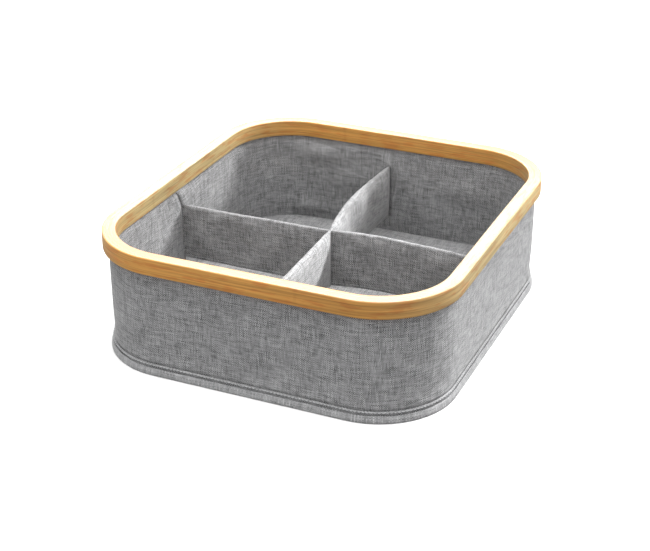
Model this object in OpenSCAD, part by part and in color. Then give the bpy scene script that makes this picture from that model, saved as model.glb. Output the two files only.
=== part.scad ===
// Divided storage basket: a fabric tray with stiffened walls, hung from a bent bamboo rim,
// with a sewn-in cross of soft dividers that makes four compartments.
// Millimetres. The origin is at the middle of the underside, +Z is up, the front faces -Y.

/* [Overall] */
// Width over the bamboo rim, left to right
rim_w = 300; // [260:1:380]
// Depth over the bamboo rim, front to back
rim_d = 328; // [260:1:400]
// Height from the table to the top of the rim
basket_h = 104; // [92:1:150]
// Corner radius of the rim's outer face, seen from above
corner_r = 68; // [50:1:85]

/* [Bamboo rim] */
// Height of the rim
rim_h = 14.5; // [13:0.5:20]
// Thickness of the outer face ply
face_ply_t = 3; // [2.5:0.1:4]
// Thickness of the ply behind the face ply
middle_ply_t = 2.9; // [2:0.1:4]
// Thickness of the innermost ply
inner_ply_t = 2.6; // [2.4:0.1:4]
// Rounding of the rim's long edges
rim_edge_r = 2.4; // [1:0.1:2.4]
// Depth of the groove in the rim's underside
groove_depth = 9; // [7:0.5:11]
// Length of a scarf joint for each millimetre of ply thickness
scarf_share = 8; // [5:1:10]

/* [Fabric wall] */
// Thickness of the woven fabric
fabric_t = 0.8; // [0.5:0.1:1.1]
// Thickness of the stiffening board in the wall
wall_board_t = 2.9; // [2:0.1:4]
// Thickness of the tape over the wall's top edge
tape_t = 0.4; // [0.3:0.1:0.8]
// Height of the tape inside the groove
tape_h = 6.5; // [4:0.5:6.5]
// Height below the rim over which the two fabrics draw together
tuck_h = 5.5; // [4:0.5:10]

/* [Base] */
// Clear height under the base panel
base_gap = 3.5; // [2.5:0.1:5]
// Thickness of the board in the base panel
base_board_t = 2.2; // [1.5:0.1:4]
// Height of the binding round the foot
binding_h = 6.3; // [5:0.1:8]
// Thickness of the binding tape
binding_t = 0.8; // [0.5:0.1:1.1]
// How far the foot stands out from the wall where it meets the table
foot_proud = 3; // [2.6:0.1:4]
// How far the binding's upper edge stands out from the wall
band_proud = 1.6; // [1.5:0.1:2.4]
// Height of the welt above the binding
welt_h = 2; // [1.5:0.1:3]
// How far the welt stands out from the wall
welt_proud = 1.1; // [0.8:0.1:1.4]

/* [Dividers] */
// Height of the dividers
divider_h = 51; // [35:1:60]
// Clear height between the floor and the dividers
divider_gap = 14.5; // [8:0.5:18]
// Thickness of the board in a divider
divider_board_t = 1.6; // [1.2:0.1:2.4]
// How far the right half of the long divider bows towards the back
long_bow = 6.5; // [0:0.5:12]
// How far the back divider bows to the left of its chord
back_bow = 6.5; // [0:0.5:14]
// Where the back divider meets the back wall, left of the middle
back_shift = 8; // [0:0.5:20]
// Where the front divider meets the front wall, right of the middle
front_shift = 2.5; // [0:0.5:20]
// Length over which a sleeve is pressed flat towards a sewn end
pinch_len = 9; // [6:0.5:14]

/* [Hidden] */
$fn = 96;

// Clearance between layers that lie on each other
lay_gap = 0.1;
// Width of the line left open where a ply or a board closes on itself
joint_gap = 0.2;
// How far a cutter reaches past what it cuts
cut_over = 1;
// Steps along a bowed divider, and round the fold at its top edge
bow_steps = 12;
fold_steps = 4;

// Insets from the rim's outer face, going inwards. The groove takes both fabrics and the tape.
groove_w = 2 * fabric_t + 2 * tape_t + 5 * lay_gap;
groove_out = face_ply_t + middle_ply_t;
groove_in = groove_out + groove_w;
rim_t = groove_in + inner_ply_t;
groove_mid = groove_out + groove_w / 2;
wall_t = wall_board_t + 2 * fabric_t + 2 * lay_gap;
wall_out = groove_mid - wall_t / 2;
wall_in = groove_mid + wall_t / 2;
board_out = wall_out + fabric_t + lay_gap;
board_in = board_out + wall_board_t;
cover_tuck = groove_mid - lay_gap / 2 - fabric_t;
lining_tuck = groove_mid + lay_gap / 2;

// Heights in the rim and under it
rim_z = basket_h - rim_h;
groove_z = rim_z + groove_depth;
tape_top_z = groove_z - lay_gap;
fabric_top_z = tape_top_z - tape_t - lay_gap;
tuck_z = rim_z - tuck_h;
tuck_end_z = rim_z - lay_gap;

// Where the plies and the wall's layers close on themselves, along the front and back sides
scarf_x = rim_w / 5;
cover_joint_x = -rim_w / 4;
board_joint_x = rim_w / 6;

// Heights in the base panel, from the table up
base_cover_z = base_gap + fabric_t;
base_board_z = base_cover_z + lay_gap;
floor_z = base_board_z + base_board_t + lay_gap;
floor_top_z = floor_z + fabric_t;
wall_foot_z = floor_top_z + lay_gap;

// The foot's layers lean outwards side by side: binding, cover, base cover and binding again
skirt_at = binding_t + lay_gap;
lip_at = skirt_at + fabric_t + lay_gap;
foot_leg_at = lip_at + fabric_t + lay_gap;
foot_web_z = binding_t;
skirt_z = foot_web_z + lay_gap;
foot_leg_z = base_gap - lay_gap;
step_z = binding_h + lay_gap;
step_top_z = max(step_z + foot_proud / 2, wall_foot_z);
welt_z = step_top_z + lay_gap;

// Dividers: heights, half thicknesses and the walls that they reach
divider_z = floor_top_z + divider_gap;
divider_top_z = divider_z + divider_h;
sleeve_in = divider_board_t / 2 + lay_gap;
sleeve_out = sleeve_in + fabric_t;
slit_half = lay_gap;
pressed_half = 2 * slit_half;
tab_half = pressed_half + fabric_t;
tab_slot_w = 2 * (tab_half + lay_gap);
inner_x = rim_w / 2 - wall_in;
inner_y = rim_d / 2 - wall_in;
board_top_z = divider_top_z - fabric_t - sleeve_in;
board_foot_z = divider_z + 2 * fabric_t + lay_gap;
// Share by which each bow's crest leans towards the crossing
long_lean_share = 0.6;
back_lean_share = 0.15;

bamboo = "#c8954f";
bamboo_light = "#e6c98f";
fabric = "#8f9092";
fabric_light = "#a9abad";
board = "#b09a78";
tape = "#d9d9d6";

// Inset of the foot's outer face at height z
function foot_face(z) =
    wall_out - foot_proud + (foot_proud - band_proud) * z / binding_h;

// Turns points of inset and height into the section that sweep_round() carries
function section(points) = [for (p = points) [corner_r - p[0], p[1]]];

// Sideways place of a bowed divider at t, from 0 at the crossing to 1 at the wall
function bow_at(t, shift, bow, lean) =
    shift * t + bow * sin(180 * t * (1 + lean * (1 - t)));

// Places along half a divider where its board starts, bends and ends. A straight one has two.
function board_places(start, reach, bow) =
    let (from = start + pinch_len, to = reach - pinch_len, steps = bow == 0 ? 1 : bow_steps)
    [for (i = [0 : steps]) from + (to - from) * i / steps];

// Stations along half a divider's sleeve: distance along it, sideways place and how far it is
// open. It is pressed flat at its sewn inner end, at the wall and in its tab in the lining.
function half_stations(start, reach, shift, bow, lean) = concat(
    [[start, bow_at(start / reach, shift, bow, lean), 0]],
    [for (a = board_places(start, reach, bow)) [a, bow_at(a / reach, shift, bow, lean), 1]],
    [[reach, shift, 0], [reach + fabric_t, shift, 0]]);

// The sleeve's section at one station: one sheet folded over the top, its edges turned in below
function sleeve_section(open) =
    let (
        out = tab_half + (sleeve_out - tab_half) * open,
        hollow = pressed_half + (sleeve_in - pressed_half) * open,
        crown_z = divider_top_z - sleeve_out
    )
    concat(
        [[slit_half, divider_z], [out, divider_z + out / 2]],
        [for (k = [0 : fold_steps]) let (a = 180 * k / fold_steps)
            [out * cos(a), crown_z + sleeve_out * sin(a)]],
        [[-out, divider_z + out / 2], [-slit_half, divider_z]],
        [[-slit_half, divider_z + fabric_t], [-hollow, divider_z + 2 * fabric_t]],
        [for (k = [0 : fold_steps]) let (a = 180 - 180 * k / fold_steps)
            [hollow * cos(a), crown_z + (sleeve_out - fabric_t) * sin(a)]],
        [[hollow, divider_z + 2 * fabric_t], [slit_half, divider_z + fabric_t]]);

// A sleeve through a row of stations, running along +X with its sides facing Y.
// Its ends are closed by a row of quads from the outer line of the section to the inner one.
module sleeve(stations) {
    rings = [for (s = stations) [for (p = sleeve_section(s[2])) [s[0], s[1] + p[0], p[1]]]];
    count = len(rings[0]);
    last = len(rings) - 1;
    function end_quad(j) = [[j, j + 1, count - 2 - j], [j, count - 2 - j, count - 1 - j]];
    near_end = [for (j = [0 : count / 2 - 2]) each end_quad(j)];
    polyhedron(
        points = [for (ring = rings) for (p = ring) p],
        faces = concat(
            near_end,
            [for (i = [0 : last - 1], j = [0 : count - 1]) let (k = (j + 1) % count)
                [i * count + j, (i + 1) * count + k, i * count + k]],
            [for (i = [0 : last - 1], j = [0 : count - 1]) let (k = (j + 1) % count)
                [i * count + j, (i + 1) * count + j, (i + 1) * count + k]],
            [for (f = near_end) [for (j = [2 : -1 : 0]) last * count + f[j]]]),
        convexity = 6);
}

// The board inside half a divider, on the same bowed line as its sleeve
module sleeve_board(start, reach, shift, bow, lean) {
    line = [for (a = board_places(start, reach, bow)) [a, bow_at(a / reach, shift, bow, lean)]];
    last = len(line) - 1;
    translate([0, 0, board_foot_z])
        linear_extrude(board_top_z - board_foot_z)
            polygon(concat(
                [for (p = line) [p[0], p[1] - divider_board_t / 2]],
                [for (i = [last : -1 : 0]) [line[i][0], line[i][1] + divider_board_t / 2]]));
}

// Carries a section round the basket's plan: four straight runs and four quarter turns.
// The section's x is the distance from the corner's centre, and its y is the height.
module sweep_round() {
    run_x = rim_w - 2 * corner_r;
    run_y = rim_d - 2 * corner_r;
    for (turn = [0, 180]) {
        rotate([0, 0, turn])
            translate([rim_w / 2 - corner_r, 0, 0])
                rotate([90, 0, 0])
                    linear_extrude(run_y, center = true) children();
        rotate([0, 0, turn + 90])
            translate([rim_d / 2 - corner_r, 0, 0])
                rotate([90, 0, 0])
                    linear_extrude(run_x, center = true) children();
        rotate([0, 0, turn])
            translate([rim_w / 2 - corner_r, rim_d / 2 - corner_r, 0])
                rotate_extrude(angle = 90) children();
        rotate([0, 0, turn])
            translate([corner_r - rim_w / 2, rim_d / 2 - corner_r, 0])
                rotate([0, 0, 90])
                    rotate_extrude(angle = 90) children();
    }
}

// An upright band between two insets and two heights
module band(from, to, low, high) {
    translate([corner_r - to, low]) square([to - from, high - low]);
}

// A flat panel of the basket's plan, set in by an inset
module panel(inset, low, high) {
    r = corner_r - inset;
    translate([0, 0, low])
        linear_extrude(high - low) {
            square([rim_w - 2 * inset, rim_d - 2 * corner_r], center = true);
            square([rim_w - 2 * corner_r, rim_d - 2 * inset], center = true);
            for (sx = [-1, 1], sy = [-1, 1])
                translate([sx * (rim_w / 2 - corner_r), sy * (rim_d / 2 - corner_r)])
                    circle(r);
        }
}

// The whole rim's section, with its four long edges rounded
module rim_section() {
    translate([corner_r - rim_t + rim_edge_r, rim_z])
        square([rim_t - 2 * rim_edge_r, rim_h]);
    translate([corner_r - rim_t, rim_z + rim_edge_r])
        square([rim_t, rim_h - 2 * rim_edge_r]);
    for (x = [corner_r - rim_t + rim_edge_r, corner_r - rim_edge_r],
         z = [rim_z + rim_edge_r, basket_h - rim_edge_r])
        translate([x, z]) circle(rim_edge_r);
}

// The slanting line of a scarf joint across a ply, at x along the front (-1) or back (1) side
module scarf_cut(x, side, from, to) {
    ply = to - from;
    slope = atan(1 / scarf_share);
    translate([x, side * (rim_d / 2 - (from + to) / 2), rim_z + rim_h / 2])
        rotate([0, 0, slope])
            cube([2 * ply * scarf_share, joint_gap, rim_h + 2 * cut_over], center = true);
}

// One bent bamboo ply, closed on itself with a scarf joint at x on the front or back side
module ply(from, to, low, x, side) {
    difference() {
        sweep_round()
            intersection() {
                rim_section();
                band(from, to, low, basket_h);
            }
        scarf_cut(x, side, from, to);
    }
}

// Line left open across a wall layer, seen from above at x along the back side
module back_joint(x, from, to, low, high) {
    translate([x - joint_gap / 2, rim_d / 2 - to - cut_over, low - cut_over])
        cube([joint_gap, to - from + 2 * cut_over, high - low + 2 * cut_over]);
}

module rim_face_ply() {
    color(bamboo) ply(0, face_ply_t, rim_z, -scarf_x, 1);
}

module rim_middle_ply() {
    color(bamboo) ply(face_ply_t, groove_out, rim_z, scarf_x, 1);
}

module rim_core_ply() {
    color(bamboo_light) ply(groove_out, groove_in, groove_z, scarf_x, -1);
}

module rim_inner_ply() {
    color(bamboo) ply(groove_in, rim_t, rim_z, -scarf_x, -1);
}

// Tape folded over the wall's raw top edge, glued into the groove
module top_tape() {
    out = groove_out + lay_gap;
    in = groove_in - lay_gap;
    color(tape)
        sweep_round()
            difference() {
                band(out, in, tape_top_z - tape_h, tape_top_z);
                band(out + tape_t, in - tape_t, tape_top_z - tape_h - cut_over, tape_top_z - tape_t);
            }
}

// Outer fabric: tongue in the groove, wall, step over the welt and skirt inside the binding
module outer_cover() {
    face = [
        [cover_tuck, fabric_top_z],
        [cover_tuck, tuck_end_z],
        [wall_out, tuck_z],
        [wall_out, step_top_z],
        [foot_face(step_z) + skirt_at, step_z],
        [foot_face(skirt_z) + skirt_at, skirt_z]
    ];
    last = len(face) - 1;
    color(fabric)
        difference() {
            sweep_round()
                polygon(section(concat(face,
                    [for (i = [last : -1 : 0]) [face[i][0] + fabric_t, face[i][1]]])));
            back_joint(cover_joint_x, 0, wall_in, 0, basket_h);
        }
}

// Stiffening board, one strip bent round the wall with a butt joint at the back
module wall_board() {
    color(board)
        difference() {
            sweep_round() band(board_out, board_in, wall_foot_z, tuck_z);
            back_joint(board_joint_x, board_out, board_in, wall_foot_z, tuck_z);
        }
}

// Slot in the lining for a divider's tab, at a place on the wall. Its length runs along Z.
module tab_slot(low, high) {
    translate([-tab_slot_w / 2, -fabric_t - cut_over, low])
        cube([tab_slot_w, 2 * (fabric_t + cut_over), high - low]);
}

// Inner fabric, before it is cut in two
module lining_band() {
    face = [
        [lining_tuck, fabric_top_z],
        [lining_tuck, tuck_end_z],
        [wall_in - fabric_t, tuck_z],
        [wall_in - fabric_t, wall_foot_z]
    ];
    last = len(face) - 1;
    sweep_round()
        polygon(section(concat(face,
            [for (i = [last : -1 : 0]) [face[i][0] + fabric_t, face[i][1]]])));
}

// Half of the lining: side -1 is the front half and 1 the back one.
// The halves meet at the ends of the long divider, and a slot takes the short divider's tab.
module lining_half(side, shift) {
    difference() {
        lining_band();
        translate([-rim_w / 2, side > 0 ? -rim_d / 2 : -tab_slot_w / 2, 0])
            cube([rim_w, (rim_d + tab_slot_w) / 2, basket_h + cut_over]);
        translate([shift, side * inner_y, 0])
            tab_slot(divider_z - lay_gap, divider_top_z + lay_gap);
    }
}

module lining_front() {
    color(fabric) lining_half(-1, front_shift);
}

module lining_back() {
    color(fabric) lining_half(1, -back_shift);
}

// Underside fabric of the base panel, its edge turned down into the binding
module base_cover() {
    lip = [
        [foot_face(base_cover_z) + lip_at, base_cover_z],
        [foot_face(skirt_z) + lip_at, skirt_z],
        [foot_face(skirt_z) + lip_at + fabric_t, skirt_z],
        [foot_face(base_gap) + lip_at + fabric_t, base_gap],
        [board_in, base_gap],
        [board_in, base_cover_z]
    ];
    color(fabric) {
        sweep_round() polygon(section(lip));
        panel(board_out + fabric_t, base_gap, base_cover_z);
    }
}

module base_board() {
    color(board) panel(board_out, base_board_z, base_board_z + base_board_t);
}

// Fabric on the floor of the compartments. The wall board and the lining stand on its border.
module floor_lining() {
    color(fabric) panel(board_out, floor_z, floor_top_z);
}

// Tape bound round the seam where the wall and the base panel meet: the foot of the basket
module bottom_binding() {
    fold = binding_t / 2;
    inner = foot_leg_at + binding_t;
    outline = [
        [foot_face(binding_h), binding_h],
        [foot_face(fold), fold],
        [foot_face(0) + fold, 0],
        [foot_face(0) + inner - fold, 0],
        [foot_face(fold) + inner, fold],
        [foot_face(foot_leg_z) + inner, foot_leg_z],
        [foot_face(foot_leg_z) + foot_leg_at, foot_leg_z],
        [foot_face(foot_web_z) + foot_leg_at, foot_web_z],
        [foot_face(foot_web_z) + binding_t, foot_web_z],
        [foot_face(binding_h) + binding_t, binding_h]
    ];
    color(fabric_light) sweep_round() polygon(section(outline));
}

// Half-round welt sewn on the wall just above the binding
module base_welt() {
    color(fabric_light)
        sweep_round()
            intersection() {
                band(wall_out - lay_gap - welt_proud, wall_out - lay_gap, welt_z, welt_z + welt_h);
                translate([corner_r - wall_out + lay_gap, welt_z + welt_h / 2])
                    scale([welt_proud / (welt_h / 2), 1]) circle(welt_h / 2);
            }
}

// Sleeve of the long divider, right through from the left wall to the right one
module long_divider_cover() {
    left = half_stations(0, inner_x, 0, 0, 0);
    right = half_stations(0, inner_x, 0, long_bow, long_lean_share);
    color(fabric)
        sleeve(concat(
            [for (i = [len(left) - 1 : -1 : 1]) [-left[i][0], left[i][1], left[i][2]]],
            right));
}

module long_board_left() {
    color(board) mirror([1, 0, 0]) sleeve_board(0, inner_x, 0, 0, 0);
}

module long_board_right() {
    color(board) sleeve_board(0, inner_x, 0, long_bow, long_lean_share);
}

// The short dividers start on the long one's sewn middle, where it is pressed flat
short_start = tab_half + lay_gap;

module front_divider_cover() {
    color(fabric)
        rotate([0, 0, -90])
            sleeve(half_stations(short_start, inner_y, front_shift, 0, 0));
}

module front_divider_board() {
    color(board)
        rotate([0, 0, -90])
            sleeve_board(short_start, inner_y, front_shift, 0, 0);
}

module back_divider_cover() {
    color(fabric)
        rotate([0, 0, 90])
            sleeve(half_stations(short_start, inner_y, back_shift, back_bow, back_lean_share));
}

module back_divider_board() {
    color(board)
        rotate([0, 0, 90])
            sleeve_board(short_start, inner_y, back_shift, back_bow, back_lean_share);
}

rim_face_ply();
rim_middle_ply();
rim_core_ply();
rim_inner_ply();
top_tape();
outer_cover();
wall_board();
lining_front();
lining_back();
base_cover();
base_board();
floor_lining();
bottom_binding();
base_welt();
long_divider_cover();
long_board_left();
long_board_right();
front_divider_cover();
front_divider_board();
back_divider_cover();
back_divider_board();
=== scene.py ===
"""Divided storage basket, dressed: cloth, bamboo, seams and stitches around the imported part.

Lengths inside the classes are millimetres, as in the part's source, and turn to metres when a
mesh is made. A place on a wall is given by how far it lies round the basket ("way"), how far it
is set in from the rim's outer face ("inset") and its height.
"""

import logging
import math
from dataclasses import dataclass
from enum import Enum

import bmesh
import bpy
import numpy as np
from bpy.types import ID, Material, Node, NodeSocket, NodeTree, Object
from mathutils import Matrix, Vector

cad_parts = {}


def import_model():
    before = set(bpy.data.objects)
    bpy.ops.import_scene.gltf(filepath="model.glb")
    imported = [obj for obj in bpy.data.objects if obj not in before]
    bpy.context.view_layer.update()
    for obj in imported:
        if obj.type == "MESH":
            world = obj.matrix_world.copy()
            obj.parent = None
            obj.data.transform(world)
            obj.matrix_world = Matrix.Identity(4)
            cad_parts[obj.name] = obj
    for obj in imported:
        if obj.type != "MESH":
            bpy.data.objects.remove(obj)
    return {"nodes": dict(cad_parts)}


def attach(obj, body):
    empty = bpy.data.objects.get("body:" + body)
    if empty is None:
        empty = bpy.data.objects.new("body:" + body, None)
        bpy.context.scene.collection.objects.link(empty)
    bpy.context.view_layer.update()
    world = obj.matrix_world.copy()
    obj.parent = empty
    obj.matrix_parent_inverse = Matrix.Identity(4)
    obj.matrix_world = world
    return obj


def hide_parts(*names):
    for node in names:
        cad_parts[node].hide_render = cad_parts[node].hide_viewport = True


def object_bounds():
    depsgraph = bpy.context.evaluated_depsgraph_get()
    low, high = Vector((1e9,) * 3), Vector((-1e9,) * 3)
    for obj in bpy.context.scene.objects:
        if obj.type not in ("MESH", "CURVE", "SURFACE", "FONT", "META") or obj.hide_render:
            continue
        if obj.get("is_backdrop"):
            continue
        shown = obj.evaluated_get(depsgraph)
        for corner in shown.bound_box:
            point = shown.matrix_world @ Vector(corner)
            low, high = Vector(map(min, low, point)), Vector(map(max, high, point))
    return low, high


LOG = logging.getLogger("basket")
Array = np.ndarray
MM = 0.001
# Corners of a mesh nearer than this, in metres, become one.
MERGE = 1e-6


class Side(Enum):
    """A long side of the basket's plan, by the sign of its Y."""

    FRONT = -1
    BACK = 1


class Chart(Enum):
    """Where a cloth or bamboo pattern gets its place on a piece from."""

    UNROLLED = "unrolled"
    FLAT = "flat"


def linear(hex_colour: str) -> tuple[float, float, float, float]:
    """Turns an sRGB hex colour into a linear one.

    Args:
        hex_colour: Six hex digits with a leading #.

    Returns:
        Red, green, blue and an alpha of 1.
    """
    parts = [int(hex_colour[i : i + 2], 16) / 255 for i in (1, 3, 5)]
    r, g, b = [c / 12.92 if c <= 0.04045 else ((c + 0.055) / 1.055) ** 2.4 for c in parts]
    return r, g, b, 1.0


def feed(node: Node, inputs: dict) -> None:
    """Sets a node's inputs.

    Args:
        node: The node.
        inputs: A value, or the socket that feeds it, by the input's name or number.
    """
    for key, value in inputs.items():
        if isinstance(value, NodeSocket):
            node.id_data.links.new(value, node.inputs[key])
        else:
            node.inputs[key].default_value = value


def add_node(
    tree: NodeTree, kind: str, inputs: dict | None = None, output: str = "", **settings: object
) -> NodeSocket:
    """Adds one node with its settings, socket values and links.

    Args:
        tree: The node tree that gets the node.
        kind: The node's type name without its ShaderNode.
        inputs: A value, or the socket that feeds it, by the input's name or number.
        output: The output's name, or nothing for the first that the settings leave in use.
        settings: Properties of the node itself.

    Returns:
        The output's socket.
    """
    node = tree.nodes.new("ShaderNode" + kind)
    for key, value in settings.items():
        setattr(node, key, value)
    feed(node, inputs or {})
    return node.outputs[output] if output else next(o for o in node.outputs if o.enabled)


def ramp_colours(ramp: NodeSocket, stops: tuple[tuple[float, str], ...]) -> None:
    """Sets a colour ramp's two stops.

    Args:
        ramp: The ramp node's socket.
        stops: Places from 0 to 1 with sRGB hex colours.
    """
    for element, (place, colour) in zip(ramp.node.color_ramp.elements, stops):
        element.position = place
        element.color = linear(colour)


def pattern_place(tree: NodeTree, chart: Chart) -> NodeSocket:
    """Gives the place on a piece, in metres, that a pattern is drawn by.

    Args:
        tree: The material's node tree.
        chart: Whether the piece is unrolled along its own length or lies flat.

    Returns:
        A vector socket.
    """
    if chart is Chart.UNROLLED:
        return add_node(tree, "UVMap", uv_map="unrolled")
    return add_node(tree, "TexCoord", output="Object")


@dataclass(frozen=True)
class Finish:
    """A real material and how its surface was made."""

    name: str

    def inputs(self, tree: NodeTree) -> dict[str, object]:
        """The shader's inputs by name, each a value or the socket that feeds it."""
        raise NotImplementedError

    def make(self) -> Material:
        """Builds the material.

        Returns:
            A material with one principled shader and the nodes that feed it.
        """
        material = bpy.data.materials.new(self.name)
        material.use_nodes = True
        tree = material.node_tree
        feed(tree.nodes["Principled BSDF"], self.inputs(tree))
        return material


@dataclass(frozen=True)
class BambooPly(Finish):
    """Bamboo strip, planed, bent and satin lacquered.

    The eye gets long fine fibre streaks along the strip, reddish patches, a painted change from
    honey on the front and back to a paler straw on the two sides, which is painted light where
    the lamps fall more strongly, a faint line where each stem joint was, and the soft white
    shine of satin lacquer.
    """

    name: str = "bamboo_strip_planed_and_lacquered"
    honey: str = "#bb8742"
    # Painted light: the paler tone that the two sides are given where the lamps fall on them
    lit_side_straw: str = "#baa474"
    ruddy: str = "#b0672d"
    joint_tint: str = "#8f5c2b"
    # Fibre bundles in bamboo are 0.3 to 0.6 mm apart. They are drawn 1.3 mm apart to show.
    fibre_pitch: float = 1.3
    fibre_length: float = 80.0
    fibre_contrast: float = 1.2
    # Broader bands of them, and the reddish patches between, both as growth leaves them
    band_pitch: float = 4.5
    band_length: float = 240.0
    band_contrast: float = 0.5
    patch_pitch: float = 4.0
    patch_length: float = 22.0
    patch_tint: float = 0.5
    lap: float = 1139.3
    # Stem joints in culms of this size are 250 to 300 mm apart, so there are four on a lap.
    joints: int = 4
    joint_start: float = 0.0
    joint_depth: float = 0.16
    # A ply's slow change of tone: its height as a share and where it is lightest
    drift: float = 0.14
    drift_start: float = 440.0
    roughness: float = 0.4

    def inputs(self, tree: NodeTree) -> dict[str, object]:
        """Draws the strip's colours, lacquer and grain.

        Args:
            tree: The material's node tree.

        Returns:
            The shader's inputs.
        """
        place = pattern_place(tree, Chart.UNROLLED)
        along = add_node(tree, "SeparateXYZ", {"Vector": place}, "X")
        fine = self.streaks(tree, place, self.fibre_length, self.fibre_pitch)
        broad = self.streaks(tree, place, self.band_length, self.band_pitch)
        patch = add_node(
            tree, "MapRange",
            {"Value": self.streaks(tree, place, self.patch_length, self.patch_pitch),
             "From Min": 0.48, "From Max": 0.66, "To Max": self.patch_tint},
            interpolation_type="SMOOTHSTEP",
        )
        # Painted light: the strip is honey on the front and back and a paler straw on the two
        # sides, where the lamps light it more.
        lit_sides = add_node(
            tree, "MapRange",
            {"Value": self.wave(tree, along, 0.0), "From Min": 0.55, "From Max": -0.75},
            interpolation_type="SMOOTHSTEP",
        )
        joint = self.stem_joints(tree, along, fine)
        colour = linear(self.honey)
        for share, tint in ((lit_sides, self.lit_side_straw), (patch, self.ruddy), (joint, self.joint_tint)):
            colour = add_node(
                tree, "Mix", {"Factor": share, "A": colour, "B": linear(tint)}, data_type="RGBA"
            )
        drift = self.wave(tree, along, self.drift_start)
        tone = 1 - (self.fibre_contrast + self.band_contrast) / 2
        for wave, contrast in (
            (fine, self.fibre_contrast), (broad, self.band_contrast), (drift, self.drift)
        ):
            tone = add_node(
                tree, "Math", {0: wave, 1: contrast, 2: tone}, operation="MULTIPLY_ADD"
            )
        return {
            "Base Color": add_node(
                tree, "VectorMath", {0: colour, "Scale": tone}, operation="SCALE"
            ),
            "Roughness": add_node(
                tree, "MapRange",
                {"Value": fine, "To Min": self.roughness - 0.05, "To Max": self.roughness + 0.05},
            ),
            "Normal": add_node(
                tree, "Bump", {"Strength": 0.15, "Distance": 0.1 * MM, "Height": fine}
            ),
            "IOR": 1.5,
        }

    def streaks(
        self, tree: NodeTree, place: NodeSocket, length: float, pitch: float
    ) -> NodeSocket:
        """Draws streaks that run along the strip.

        Args:
            tree: The material's node tree.
            place: The place along and across the strip, in metres.
            length: About how long a streak is, in millimetres.
            pitch: About how far the streaks are apart, in millimetres.

        Returns:
            A 0 to 1 noise socket.
        """
        rate = (1 / (length * MM), 1 / (pitch * MM), 1.0)
        stretched = add_node(tree, "VectorMath", {0: place, 1: rate}, operation="MULTIPLY")
        return add_node(
            tree, "TexNoise",
            {"Vector": stretched, "Scale": 1.0, "Detail": 3.0, "Roughness": 0.6},
            noise_dimensions="2D",
        )

    def wave(self, tree: NodeTree, along: NodeSocket, start: float) -> NodeSocket:
        """Draws a slow change along the strip, twice a lap.

        Args:
            tree: The material's node tree.
            along: The place along the strip, in metres.
            start: Where a crest lies, in millimetres along the strip.

        Returns:
            A socket from -1 to 1.
        """
        rate = 4 * math.pi / self.lap
        turns = add_node(
            tree, "Math", {0: along, 1: rate / MM, 2: -rate * start}, operation="MULTIPLY_ADD"
        )
        return add_node(tree, "Math", {0: turns}, operation="COSINE")

    def stem_joints(self, tree: NodeTree, along: NodeSocket, waver: NodeSocket) -> NodeSocket:
        """Draws the darker lines where the stem's joints were.

        Args:
            tree: The material's node tree.
            along: The place along the strip, in metres.
            waver: A 0 to 1 noise that makes the line uneven.

        Returns:
            A socket from 0 to joint_depth, highest on the line.
        """
        shifted = add_node(
            tree, "Math", {0: waver, 1: 4.0 * MM, 2: -self.joint_start * MM - 2.0 * MM},
            operation="MULTIPLY_ADD",
        )
        moved = add_node(tree, "Math", {0: along, 1: shifted}, operation="ADD")
        far = add_node(
            tree, "Math", {0: moved, 1: self.lap / self.joints / 2 * MM}, operation="PINGPONG"
        )
        return add_node(
            tree, "MapRange",
            {"Value": far, "From Min": 0.4 * MM, "From Max": 2.2 * MM,
             "To Min": self.joint_depth, "To Max": 0.0},
            interpolation_type="SMOOTHSTEP",
        )


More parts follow.
